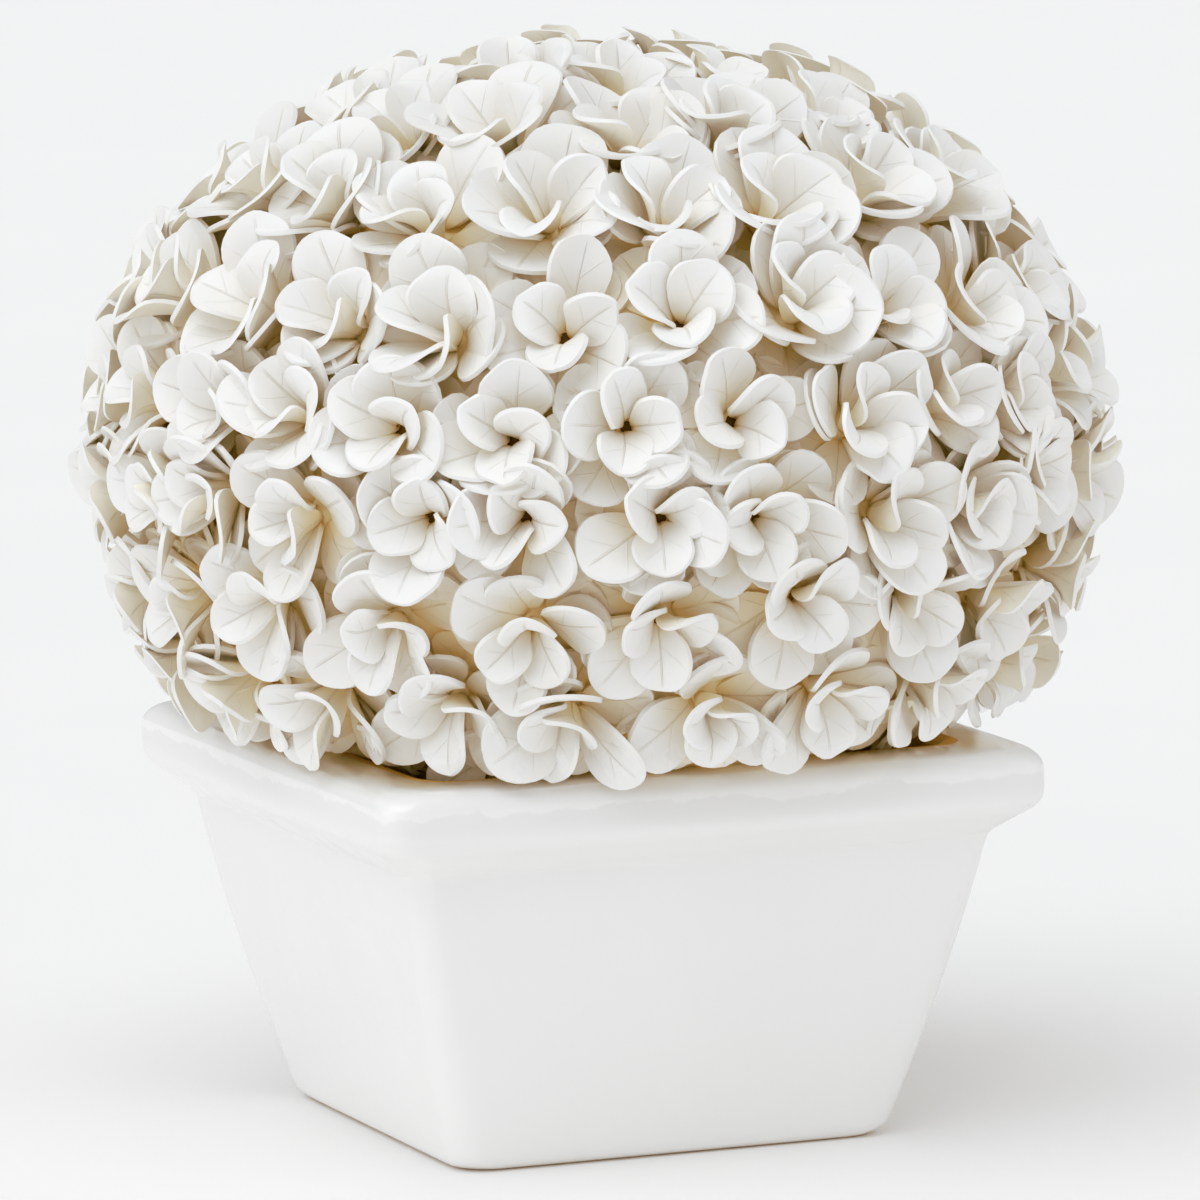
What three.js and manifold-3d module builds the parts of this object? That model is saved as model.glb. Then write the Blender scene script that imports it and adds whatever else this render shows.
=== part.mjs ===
// A boxwood ball topiary in a square planter, all of it in white porcelain.
//
// The planter is slip-cast: a tapered square body with a heavy rolled rim. An oblate ball
// sits in its mouth on a short stem. Rosettes of leaves, pressed by hand, cover the ball in
// ten rows: each has three inner leaves that stand up as a cup and three outer leaves that
// spread flat. Every row is one piece, rooted in its own thin band round the ball.
//
// Units are millimetres and +Z is up. The origin is at the middle of the planter's
// underside, and the planter's sides are square to X and Y.

import * as THREE from 'three';
import { mergeVertices } from 'three/addons/utils/BufferGeometryUtils.js';
import Module from 'manifold-3d';

const wasm = await Module();
wasm.setup();

const DEGREE = Math.PI / 180;
const PLAY = 0.3;

// Planter: half sides and heights
const BASE_HALF = 51.5;
const BODY_TOP_HALF = 69;
const BODY_TOP_Z = 68;
const BODY_BULGE = 1.1;
const BASE_EDGE = 4;
const RIM_HALF = 78.5;
const RIM_UNDER_Z = 77.5;
const RIM_TOP_Z = 88.8;
const RIM_EDGE = 4;
const MOUTH_HALF = 60.5;
const MOUTH_ROLL = 3.2;
const WALL = 8;
const FLOOR = 7;
const FLOOR_FILLET = 5;
const CORNER_RADIUS = 7;
const CORNER_STEPS = 4;

// Ball: half width, and its rise and drop from the widest level
const BALL_X = 3;
const BALL_Y = -1;
const BALL_Z = 151;
const BALL_HALF = 94;
const BALL_RISE = 72;
const BALL_DROP = 80;
const BALL_FOOT_Z = 76;
const BALL_SIDES = 24;
const BALL_STEPS = 9;

// Bands round the ball: height off it outside and inside, and the crack between bands in degrees
const BAND = 2.8;
const BAND_SEAT = 0.7;
const BAND_CRACK = 0.12;
const BAND_SIDES = 12;
const LOWEST_BAND = 10;

// Rows of rosettes from the top down: latitude and first azimuth in degrees
const ROWS = [
  { latitude: 90, rosettes: 1, first: 0 },
  { latitude: 77, rosettes: 6, first: -95 },
  { latitude: 60.5, rosettes: 13, first: -106 },
  { latitude: 44, rosettes: 18, first: -120.5 },
  { latitude: 26, rosettes: 23, first: -116.5 },
  { latitude: 10.5, rosettes: 26, first: -109.6 },
  { latitude: -2.5, rosettes: 26, first: -106.5 },
  { latitude: -16.5, rosettes: 21, first: -104.4 },
  { latitude: -30, rosettes: 20, first: -116 },
  { latitude: -41.5, rosettes: 17, first: -110 },
];
const LOWEST_AIM = -30;
const SEAT_WANDER = 1.6;
const AIM_WANDER = 0.14;

// Leaves: tilt is from the rosette's axis, and cup is how far the side edges lift
const INNER_LEAF = { tilt: 36, reach: 1.2, rise: 7.2, length: 15.2, width: 14.5, cup: 1.8 };
const OUTER_LEAF = { tilt: 64, reach: 2.0, rise: 5.2, length: 18.5, width: 17, cup: 1.2 };
const WIDEST = 0.6;
const TIP_SHARE = 0.55;
const LEAF_STEP = 0.1;
const LEAF_GAP = 0.5;
const BUD_HEIGHT = 13;

// Stem inside the planter
const STEM_FOOT_RADIUS = 17;
const STEM_RADIUS = 10;
const STEM_TOP_RADIUS = 8.5;
const STEM_FLARE = 11;

const porcelain = () => new THREE.MeshStandardMaterial({ color: 0xf1f0ee, roughness: 0.55, metalness: 0 });
const glaze = () => new THREE.MeshStandardMaterial({ color: 0xf4f4f3, roughness: 0.15, metalness: 0 });
const bisque = () => new THREE.MeshStandardMaterial({ color: 0xb89468, roughness: 0.75, metalness: 0 });

// An even spread of numbers from -1 to 1 that is the same on every run
function wander(index, salt) {
  const wave = Math.sin(index * 12.9898 + salt * 78.233) * 43758.5453;
  return 2 * (wave - Math.floor(wave)) - 1;
}

// Joins the vertices that three.js repeats, and turns the faces out
function closed(geometry) {
  geometry.deleteAttribute('normal');
  geometry.deleteAttribute('uv');
  const merged = mergeVertices(geometry, 1e-4);
  const place = merged.attributes.position;
  const index = merged.index.array;
  const kept = [];
  let volume = 0;
  for (let face = 0; face < index.length; face += 3) {
    const corners = [index[face], index[face + 1], index[face + 2]];
    if (new Set(corners).size < 3) continue;
    const [a, b, c] = corners.map((corner) => new THREE.Vector3().fromBufferAttribute(place, corner));
    volume += a.dot(b.cross(c));
    kept.push(...corners);
  }
  if (volume < 0) kept.reverse();
  merged.setIndex(kept);
  return merged;
}

function toSolid(geometry) {
  const mesh = new wasm.Mesh({
    numProp: 3,
    vertProperties: new Float32Array(geometry.attributes.position.array),
    triVerts: new Uint32Array(geometry.index.array),
  });
  return new wasm.Manifold(mesh);
}

function toGeometry(solid) {
  const mesh = solid.getMesh();
  const geometry = new THREE.BufferGeometry();
  geometry.setAttribute('position', new THREE.BufferAttribute(new Float32Array(mesh.vertProperties), 3));
  geometry.setIndex([...mesh.triVerts]);
  return geometry;
}

function named(name, geometry, material) {
  geometry.computeVertexNormals();
  const mesh = new THREE.Mesh(geometry, material);
  mesh.name = name;
  return mesh;
}

// Points along an arc in a profile, angles in degrees from the outward direction
function arc(x, z, radius, from, to, steps) {
  const points = [];
  for (let step = 0; step <= steps; step += 1) {
    const angle = (from + ((to - from) * step) / steps) * DEGREE;
    points.push(new THREE.Vector2(x + radius * Math.cos(angle), z + radius * Math.sin(angle)));
  }
  return points;
}

// Half side of the planter's body at a height: a straight taper with a slight belly
function bodyHalf(z) {
  const part = z / BODY_TOP_Z;
  return BASE_HALF + (BODY_TOP_HALF - BASE_HALF) * part + BODY_BULGE * 4 * part * (1 - part);
}

function planterProfile() {
  const axisFoot = new THREE.Vector2(0, 0);
  const baseEdge = arc(bodyHalf(BASE_EDGE) - BASE_EDGE, BASE_EDGE, BASE_EDGE, -90, -10, 3);
  const body = [14, 28, 42, 56].map((z) => new THREE.Vector2(bodyHalf(z), z));
  const neck = arc(BODY_TOP_HALF + 3.2, BODY_TOP_Z - 1.2, 3.4, 178, 116, 2);
  const underRim = arc(RIM_HALF - RIM_EDGE, RIM_UNDER_Z, RIM_EDGE, -62, 0, 3);
  const topEdge = arc(RIM_HALF - RIM_EDGE, RIM_TOP_Z - RIM_EDGE, RIM_EDGE, 0, 90, 4);
  const roll = arc(MOUTH_HALF + MOUTH_ROLL, RIM_TOP_Z - MOUTH_ROLL, MOUTH_ROLL, 90, 180, 3);
  const throat = new THREE.Vector2(BODY_TOP_HALF - WALL, BODY_TOP_Z);
  const inside = new THREE.Vector2(bodyHalf(34) - WALL, 34);
  const corner = bodyHalf(FLOOR) - WALL - FLOOR_FILLET;
  const floorEdge = arc(corner, FLOOR + FLOOR_FILLET, FLOOR_FILLET, -15, -90, 2);
  const axisFloor = new THREE.Vector2(0, FLOOR);
  return [axisFoot, ...baseEdge, ...body, ...neck, ...underRim, ...topEdge, ...roll, throat, inside,
    ...floorEdge, axisFloor];
}

// A turned shape made square: each of its rounds becomes a square with round corners
function squareTurning(profile) {
  const columns = 4 * (CORNER_STEPS + 1);
  const geometry = new THREE.LatheGeometry(profile, columns);
  const place = geometry.attributes.position;
  for (let vertex = 0; vertex < place.count; vertex += 1) {
    const column = Math.floor(vertex / profile.length) % columns;
    const { x: half, y: z } = profile[vertex % profile.length];
    const radius = Math.min(CORNER_RADIUS, 0.8 * half);
    const quarter = Math.floor(column / (CORNER_STEPS + 1));
    const step = column % (CORNER_STEPS + 1);
    const angle = (quarter + step / CORNER_STEPS) * 90 * DEGREE;
    const middle = (quarter + 0.5) * 90 * DEGREE;
    const centre = (half - radius) * Math.SQRT2;
    const x = centre * Math.cos(middle) + radius * Math.cos(angle);
    const y = centre * Math.sin(middle) + radius * Math.sin(angle);
    place.setXYZ(vertex, x, y, z);
  }
  return closed(geometry);
}

// A shape turned about the vertical axis
function turning(profile, sides) {
  const geometry = new THREE.LatheGeometry(profile, sides);
  geometry.rotateX(90 * DEGREE);
  return closed(geometry);
}

// Radius and height, from the ball's centre, at a latitude and a height off its surface
function onBall(latitude, off = 0) {
  const across = Math.cos(latitude * DEGREE);
  const up = Math.sin(latitude * DEGREE);
  const depth = up < 0 ? BALL_DROP : BALL_RISE;
  const out = new THREE.Vector2(across / BALL_HALF, up / depth).normalize();
  const radius = Math.max(0, BALL_HALF * across + off * out.x);
  return new THREE.Vector2(radius, depth * up + off * out.y);
}

// How far a point stands off the ball, closely enough for short distances
function heightOffBall(point) {
  const depth = point.z < BALL_Z ? BALL_DROP : BALL_RISE;
  const from = point.clone().sub(new THREE.Vector3(BALL_X, BALL_Y, BALL_Z));
  const share = Math.hypot(from.x / BALL_HALF, from.y / BALL_HALF, from.z / depth);
  return from.length() * (1 - 1 / share);
}

function ballGeometry() {
  const footUp = BALL_FOOT_Z - BALL_Z;
  const footLatitude = Math.asin(footUp / BALL_DROP) / DEGREE;
  const profile = [new THREE.Vector2(0, footUp)];
  for (let step = 0; step <= BALL_STEPS; step += 1) {
    profile.push(onBall(footLatitude + ((90 - footLatitude) * step) / BALL_STEPS));
  }
  profile.at(-1).x = 0;
  return turning(profile, BALL_SIDES).translate(BALL_X, BALL_Y, BALL_Z);
}

function stemGeometry() {
  const foot = FLOOR + PLAY;
  const top = BALL_FOOT_Z - PLAY;
  const profile = [
    new THREE.Vector2(0, foot),
    new THREE.Vector2(STEM_FOOT_RADIUS, foot),
    new THREE.Vector2(STEM_RADIUS + 2.2, foot + STEM_FLARE / 2),
    new THREE.Vector2(STEM_RADIUS, foot + STEM_FLARE),
    new THREE.Vector2(STEM_TOP_RADIUS, top),
    new THREE.Vector2(0, top),
  ];
  return turning(profile, 12).translate(BALL_X, BALL_Y, 0);
}

// The thin band round the ball that one row of rosettes is rooted in. Its section is a
// triangle with the long side out, and the top row's band is a cap.
function bandGeometry(row) {
  const { latitude, rosettes, first } = ROWS[row];
  const isCap = row === 0;
  const sides = Math.max(rosettes, BAND_SIDES);
  const widen = 1 / Math.cos(Math.PI / sides);
  const below = row + 1 < ROWS.length ? ROWS[row + 1].latitude : latitude - LOWEST_BAND;
  const above = isCap ? latitude : ROWS[row - 1].latitude;
  const bottom = onBall((latitude + below) / 2 + BAND_CRACK, BAND);
  const inside = onBall(latitude, BAND_SEAT);
  const top = onBall((latitude + above) / 2 - (isCap ? 0 : BAND_CRACK), BAND);
  const section = isCap ? [inside, bottom, top] : [bottom, top, inside, bottom];
  const profile = section.map((point) => new THREE.Vector2(point.x * widen, point.y));
  const band = turning(profile, sides);
  band.rotateZ((first + 90 + 180 / sides) * DEGREE);
  return band.translate(BALL_X, BALL_Y, BALL_Z);
}

// One rosette's place on the ball: its seat, its axis square to the ball, and its own turn.
// The rosettes over the rim aim up from it, so that they clear it.
function seatOn(row, rowIndex, place, index) {
  const shift = rowIndex > 0 ? SEAT_WANDER : 0;
  const latitude = row.latitude + shift * wander(index, 1);
  const azimuth = (row.first + (360 * place) / row.rosettes + shift * wander(index, 2)) * DEGREE;
  const surface = onBall(latitude);
  const lifted = onBall(latitude, 1).sub(surface);
  const aim = Math.max(Math.atan2(lifted.y, lifted.x), LOWEST_AIM * DEGREE);
  const outward = new THREE.Vector3(Math.cos(azimuth), Math.sin(azimuth), 0);
  const seat = new THREE.Vector3(BALL_X, BALL_Y, BALL_Z + surface.y).addScaledVector(outward, surface.x);
  const axis = new THREE.Vector3(0, 0, Math.sin(aim)).addScaledVector(outward, Math.cos(aim));
  const stray = new THREE.Vector3(wander(index, 3), wander(index, 4), wander(index, 5));
  axis.addScaledVector(stray, AIM_WANDER).normalize();
  const east = new THREE.Vector3(-Math.sin(azimuth), Math.cos(azimuth), 0);
  east.addScaledVector(axis, -east.dot(axis)).normalize();
  const north = new THREE.Vector3().crossVectors(axis, east);
  const bud = seat.clone().addScaledVector(axis, BUD_HEIGHT);
  const turn = Math.PI * wander(index, 6);
  return { rowIndex, seat, axis, east, north, bud, turn };
}

function allSeats() {
  const seats = [];
  ROWS.forEach((row, rowIndex) => {
    for (let place = 0; place < row.rosettes; place += 1) {
      seats.push(seatOn(row, rowIndex, place, seats.length + 1));
    }
  });
  return seats;
}

// The planes halfway to the neighbours, which no leaf crosses, and the top of the rim
function roomOf(own, seats) {
  const planes = [new THREE.Plane(new THREE.Vector3(0, 0, 1), -(RIM_TOP_Z + PLAY))];
  for (const other of seats) {
    const apart = other.bud.distanceTo(own.bud);
    if (other === own || apart > 60) continue;
    const towards = own.bud.clone().sub(other.bud).normalize();
    const middle = own.bud.clone().add(other.bud).multiplyScalar(0.5);
    middle.addScaledVector(towards, LEAF_GAP / 2);
    planes.push(new THREE.Plane().setFromNormalAndCoplanarPoint(towards, middle));
  }
  return planes;
}

// A point of a rosette: how far from its axis, which way, and how high up the axis
function rosettePoint(own, out, turn, up) {
  const angle = own.turn + turn * DEGREE;
  return own.seat.clone()
    .addScaledVector(own.axis, up)
    .addScaledVector(own.east, out * Math.cos(angle))
    .addScaledVector(own.north, out * Math.sin(angle));
}

// The four outline corners of a leaf, each drawn in towards its root to fit the rosette's room
function leafOutline(own, leaf, turn, room) {
  const tilt = leaf.tilt * DEGREE;
  const side = own.east.clone().applyAxisAngle(own.axis, own.turn + (turn + 90) * DEGREE);
  const root = rosettePoint(own, leaf.reach, turn, leaf.rise);
  const along = rosettePoint(own, Math.sin(tilt), turn, Math.cos(tilt)).sub(own.seat);
  const lift = rosettePoint(own, -Math.cos(tilt), turn, Math.sin(tilt)).sub(own.seat);
  const corners = [[WIDEST, -0.5, 1], [1, -0.5 * TIP_SHARE, 0], [1, 0.5 * TIP_SHARE, 0], [WIDEST, 0.5, 1]];
  return corners.map(([far, wide, cup]) => {
    const reach = new THREE.Vector3()
      .addScaledVector(along, leaf.length * far)
      .addScaledVector(side, leaf.width * wide)
      .addScaledVector(lift, leaf.cup * cup);
    const shares = room.map((plane) => plane.distanceToPoint(root) / -plane.normal.dot(reach));
    const share = Math.min(1, ...shares.filter((value) => value > 0));
    const corner = root.clone().addScaledVector(reach, share);
    while (heightOffBall(corner) < BAND + LEAF_GAP) corner.lerp(root, LEAF_STEP);
    return corner;
  });
}

// One rosette as a closed shape: a heart, three inner leaves, three outer leaves and a root
function rosetteGeometry(own, room) {
  const points = [];
  const faces = [];
  const add = (point) => points.push(point) - 1;
  const ring = (out, turn, up) => [0, 120, 240].map((step) => add(rosettePoint(own, out, turn + step, up)));
  const heart = add(rosettePoint(own, 0, 0, 6.2));
  const innerSeam = ring(2.2, -60, 8.4);
  const outerHeel = ring(2.7, -60, 5.4);
  const innerHeel = ring(2.7, 0, 5.4);
  const rootSeam = ring(3.2, 0, 3.5);
  const root = add(rosettePoint(own, 0, 0, 0.9));
  for (let third = 0; third < 3; third += 1) {
    const next = (third + 1) % 3;
    const [ri, tri, tli, li] = leafOutline(own, INNER_LEAF, 120 * third, room).map(add);
    faces.push([heart, innerSeam[third], ri], [heart, ri, tri], [heart, tri, tli], [heart, tli, li]);
    faces.push([heart, li, innerSeam[next]]);
    faces.push([innerHeel[third], outerHeel[next], li], [innerHeel[third], li, tli]);
    faces.push([innerHeel[third], tli, tri], [innerHeel[third], tri, ri]);
    faces.push([innerHeel[third], ri, outerHeel[third]]);
    faces.push([innerSeam[third], outerHeel[third], ri], [innerSeam[next], li, outerHeel[next]]);
    const [ro, tro, tlo, lo] = leafOutline(own, OUTER_LEAF, 120 * third + 60, room).map(add);
    faces.push([outerHeel[next], innerHeel[third], ro], [outerHeel[next], ro, tro]);
    faces.push([outerHeel[next], tro, tlo], [outerHeel[next], tlo, lo]);
    faces.push([outerHeel[next], lo, innerHeel[next]]);
    faces.push([rootSeam[third], rootSeam[next], lo], [rootSeam[third], lo, tlo]);
    faces.push([rootSeam[third], tlo, tro], [rootSeam[third], tro, ro]);
    faces.push([innerHeel[third], rootSeam[third], ro], [innerHeel[next], lo, rootSeam[next]]);
    faces.push([root, rootSeam[next], rootSeam[third]]);
  }
  const geometry = new THREE.BufferGeometry().setFromPoints(points);
  geometry.setIndex(faces.flat());
  return geometry;
}

// One row: its band with its rosettes fused on
function rowGeometry(row, seats) {
  let solid = toSolid(bandGeometry(row));
  for (const own of seats.filter((seat) => seat.rowIndex === row)) {
    solid = solid.add(toSolid(rosetteGeometry(own, roomOf(own, seats))));
  }
  return toGeometry(solid);
}

const topiary = new THREE.Group();
topiary.name = 'potted_boxwood_topiary';
topiary.add(named('planter', squareTurning(planterProfile()), glaze()));
topiary.add(named('stem', stemGeometry(), bisque()));
topiary.add(named('ball', ballGeometry(), bisque()));
const seats = allSeats();
ROWS.forEach((row, index) => {
  const name = `leaf_row_${String(index + 1).padStart(2, '0')}`;
  topiary.add(named(name, rowGeometry(index, seats), porcelain()));
});

export default topiary;
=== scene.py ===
# %% [markdown]
# # A porcelain boxwood topiary
#
# The object is a shelf ornament: a ball of pressed porcelain leaves that stands in a glazed
# square planter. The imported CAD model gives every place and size. This lesson keeps that frame
# and makes the looks around it: a poured planter, a clay ball and over two thousand thin leaves.

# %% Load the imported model
import math

import bmesh
import bpy
import numpy as np
from mathutils import Matrix, Vector, noise


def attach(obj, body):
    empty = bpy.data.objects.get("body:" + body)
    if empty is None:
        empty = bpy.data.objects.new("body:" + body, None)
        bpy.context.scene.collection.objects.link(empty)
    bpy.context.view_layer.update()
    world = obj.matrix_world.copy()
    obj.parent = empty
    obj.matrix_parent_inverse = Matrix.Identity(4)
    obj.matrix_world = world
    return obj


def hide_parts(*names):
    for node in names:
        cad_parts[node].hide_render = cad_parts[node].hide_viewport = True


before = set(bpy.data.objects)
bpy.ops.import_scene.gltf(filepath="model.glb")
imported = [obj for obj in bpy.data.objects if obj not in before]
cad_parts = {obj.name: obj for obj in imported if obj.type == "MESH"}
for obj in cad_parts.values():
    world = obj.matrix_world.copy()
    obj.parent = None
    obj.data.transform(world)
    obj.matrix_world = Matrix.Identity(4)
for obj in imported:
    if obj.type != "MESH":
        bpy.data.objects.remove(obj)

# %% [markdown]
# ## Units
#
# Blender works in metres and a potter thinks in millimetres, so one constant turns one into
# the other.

MM = 0.001
DEGREE = math.pi / 180
UP = Vector((0, 0, 1))
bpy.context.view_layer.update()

# %% [markdown]
# ## The camera
#
# A product photographer stands well back with a long lens, so that the planter's sides stay
# nearly parallel. The camera is made first, because everything after it is judged through it.
# Its place is an angle round the object, a rise above the floor and a distance. Two small
# aiming angles and a roll put the object where it sits in the picture.

# %% Camera
VIEW_TURN, VIEW_RISE = -22.7 * DEGREE, 9.06 * DEGREE
VIEW_DISTANCE = 2.006
VIEW_TARGET = Vector((0, 0, 0.077))
AIM_RIGHT, AIM_UP, AIM_ROLL = 0.0019, 0.0194, -0.0088
LENS, SENSOR, FARTHEST = 270, 36, 50


def show(thing):
    """Puts a new object in the scene."""
    bpy.context.scene.collection.objects.link(thing)


def camera_axes(aim):
    """The camera's right and up directions when it looks along aim with its top upwards."""
    right = aim.cross(UP).normalized()
    return right, right.cross(aim)


def long_camera():
    """The camera, turned by two sets of axes: one for its place and one for its aim."""
    back = Vector((math.sin(VIEW_TURN), -math.cos(VIEW_TURN), 0)) * math.cos(VIEW_RISE)
    back += UP * math.sin(VIEW_RISE)
    right, up = camera_axes(-back)
    aim = (AIM_RIGHT * right + AIM_UP * up - back).normalized()
    right, up = camera_axes(aim)
    rolled_right = math.cos(AIM_ROLL) * right + math.sin(AIM_ROLL) * up
    rolled_up = math.cos(AIM_ROLL) * up - math.sin(AIM_ROLL) * right
    camera = bpy.data.objects.new("camera", bpy.data.cameras.new("camera"))
    camera.data.lens = LENS
    camera.data.sensor_width = SENSOR
    camera.data.clip_end = FARTHEST
    camera.matrix_world = Matrix((rolled_right, rolled_up, -aim)).transposed().to_4x4()
    camera.matrix_world.translation = VIEW_TARGET + back * VIEW_DISTANCE
    show(camera)
    return camera


bpy.context.scene.camera = long_camera()
print("camera is", round(bpy.context.scene.camera.location.length, 3), "m from the origin")

# %% [markdown]
# ## Node helpers
#
# Every finish below is a small network of shader nodes. These helpers add a node, join it up
# and hand back its output, so that each material reads as a short recipe.

# %% Node helpers
NOISE_SPAN = (0.3, 0.7)


def new_material(name):
    """A new material, its node tree and its shader."""
    material = bpy.data.materials.new(name)
    material.use_nodes = True
    return material, material.node_tree, material.node_tree.nodes["Principled BSDF"]


def feed(tree, value, socket):
    """Links value to the socket if it is another node's output, and else writes it there."""
    if isinstance(value, bpy.types.NodeSocket):
        tree.links.new(value, socket)
    else:
        socket.default_value = value


def maths(tree, operation, first, second=0.0, clamp=False):
    """A Math node's output."""
    node = tree.nodes.new("ShaderNodeMath")
    node.operation = operation
    node.use_clamp = clamp
    feed(tree, first, node.inputs[0])
    feed(tree, second, node.inputs[1])
    return node.outputs[0]


def times(tree, first, second):
    """The product of two values."""
    return maths(tree, "MULTIPLY", first, second)


def soft_step(tree, value, start, end, low=0.0, high=1.0):
    """Goes smoothly from low, where value is at start, to high, where it is at end."""
    node = tree.nodes.new("ShaderNodeMapRange")
    node.interpolation_type = "SMOOTHSTEP"
    feed(tree, value, node.inputs["Value"])
    for name, number in (("From Min", start), ("From Max", end), ("To Min", low), ("To Max", high)):
        node.inputs[name].default_value = number
    return node.outputs["Result"]


def fade(tree, value, start, end, full=1.0):
    """Goes smoothly from full, where value is at start, to 0, where it is at end."""
    return soft_step(tree, value, start, end, full, 0.0)


def object_place(tree):
    """Object coordinates, which are metres in the shared frame."""
    return tree.nodes.new("ShaderNodeTexCoord").outputs["Object"]


def grain(tree, scale, detail=2.0, roughness=0.5):
    """Noise from 0 to 1 on Object coordinates. scale is in waves to the metre."""
    place = object_place(tree)
    node = tree.nodes.new("ShaderNodeTexNoise")
    node.inputs["Scale"].default_value = scale
    node.inputs["Detail"].default_value = detail
    node.inputs["Roughness"].default_value = roughness
    tree.links.new(place, node.inputs["Vector"])
    return node.outputs["Fac"]


def blend_colours(tree, share, first, second):
    """The first colour where share is 0 and the second where it is 1."""
    node = tree.nodes.new("ShaderNodeMix")
    node.data_type = "RGBA"
    feed(tree, share, node.inputs["Factor"])
    feed(tree, first, node.inputs["A"])
    feed(tree, second, node.inputs["B"])
    return node.outputs["Result"]


def bump(tree, height, distance, strength=1.0, under=None):
    """A normal that makes height look raised by distance, on top of the normal under it."""
    node = tree.nodes.new("ShaderNodeBump")
    node.inputs["Strength"].default_value = strength
    node.inputs["Distance"].default_value = distance
    feed(tree, height, node.inputs["Height"])
    if under:
        tree.links.new(under, node.inputs["Normal"])
    return node.outputs["Normal"]


def grain_bump(tree, recipe, under=None):
    """A bump from noise: its waves to the metre, its detail, its depth in m and its strength."""
    waves, detail, depth, strength = recipe
    return bump(tree, grain(tree, waves, detail), depth, strength, under)


def drifting_roughness(tree, shader, drift, low, high):
    """Roughness that goes from low to high with the noise called drift."""
    tree.links.new(soft_step(tree, drift, *NOISE_SPAN, low, high), shader.inputs["Roughness"])


print("noise is stretched from", NOISE_SPAN, "to 0 and 1")

# %% [markdown]
# ## The porcelain of the leaves
#
# The leaves are pressed from white clay and fired without a glaze, so they are white, a little
# warm and only faintly shiny. A pressed leaf has a midrib and a few side veins, where a trace
# of tan stays in the grooves, with painted shade in them too. Veins follow the leaf, so the
# pattern reads a map that lies flat on each leaf, with its foot at the bottom and its tip at the top.
#
# Each leaf is painted warmer and darker near the ball, at its foot and on its back: painted warm shade, where
# the leaves and the ball shade each other.

# %% Leaf finishes
WHITE_CLAY = (0.90, 0.894, 0.88, 1)
# The backs' colour: a warmer shaded copy of the white, as painted shade under the leaves
SHADED_BACK_CLAY = (0.945, 0.905, 0.80, 1)
# Painted warm shade: warm, tan and dark brown, put on the leaves near the ball and at their feet
WARM_SHADE = (0.96, 0.79, 0.49, 1)
TAN_SHADE = (0.94, 0.65, 0.30, 1)
THROAT_SHADE = (0.45, 0.28, 0.13, 1)
# The grooves' colour: a trace of tan in them, and painted shade
VEIN_TAN_AND_SHADE = (0.72, 0.62, 0.46, 1)
# Painted shade in the hole at each rosette's heart
HOLE_SHADE = (0.10, 0.045, 0.015, 1)
BALL_LIGHT, BALL_DARK = (0.97, 0.81, 0.52, 1), (0.94, 0.69, 0.36, 1)
# Dark brown painted shade for the planter's unglazed inside and the stem
SHADED_BARE_LIGHT, SHADED_BARE_DARK = (0.72, 0.42, 0.15, 1), (0.60, 0.33, 0.10, 1)
LEAF_MAP = "leaf_place"
HEIGHT_NAME = "height_off_ball"

# Where the lines begin and end: aside in half widths, and along in shares of the length
MIDRIB_EDGE, MIDRIB_TIP, MIDDLE = (0.008, 0.042), (0.82, 0.97), 0.01
VEIN_EDGE, VEIN_ENDS = (0.008, 0.05), (0.5, 0.92)
VEIN_FIRST, VEIN_LAST = (0.22, 0.34), (0.7, 0.86)
VEINS_A_SIDE, VEIN_SWEEP, VEIN_LAG, VEIN_SHARE, WHOLE_TURNS = 2.7, 1.1, 0.43, 0.42, 10.0
# Where the painted shade is full, where it ends and how strong it is: up the leaf, or in m off the ball
WHOLE_SHADE, THROAT_SHADE_SPAN, NEAR_BALL_SHADE = (0.1, 0.8, 0.16), (0.0, 0.13, 0.8), (0.0052, 0.0078, 0.7)
FOOT_SHADE_FROM, FOOT_SHADE_SHARE, GROOVE_TINT = 0.05, 0.8, 0.35
# The painted shade near the ball, and how much each of its three numbers grows with warmth
LOW_SHADE, LOW_SHADE_GROWTH = (0.006, 0.009, 0.25), (0, 0.018, 1.1)
LEAF_GRAIN, WORN, WORN_SHARE = 150, (0.3, 0.6), (0.5, 1.0)
MOTTLE, MOTTLE_SHARE = (0.35, 0.75), (0.0, 0.08)
BARE_DRIFT, COATED_DRIFT, COAT_ROUGHNESS = 0.1, 0.06, 0.06
PRESSED_GRAIN, PRESSED_DEPTH, PRESSED_STRENGTH = 0.3, 0.0003, 0.8
CLAY_PATCHES, CLAY_DRIFT_GRAIN, CLAY_DRIFT = (70, 4.0, 0.6), 500, 0.1
CLAY_DABS, CLAY_PORES = (160, 3.0, 0.0006, 0.7), (1400, 3.0, 0.00008, 0.6)


def leaf_place(tree):
    """Across a leaf from -1 to 1, and along it from 0 at its foot to 1 at its tip."""
    flat = tree.nodes.new("ShaderNodeUVMap")
    flat.uv_map = LEAF_MAP
    parts = tree.nodes.new("ShaderNodeSeparateXYZ")
    tree.links.new(flat.outputs["UV"], parts.inputs["Vector"])
    across = maths(tree, "MULTIPLY_ADD", parts.outputs["X"], 2.0)
    across.node.inputs[2].default_value = -1.0
    return across, parts.outputs["Y"]


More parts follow.
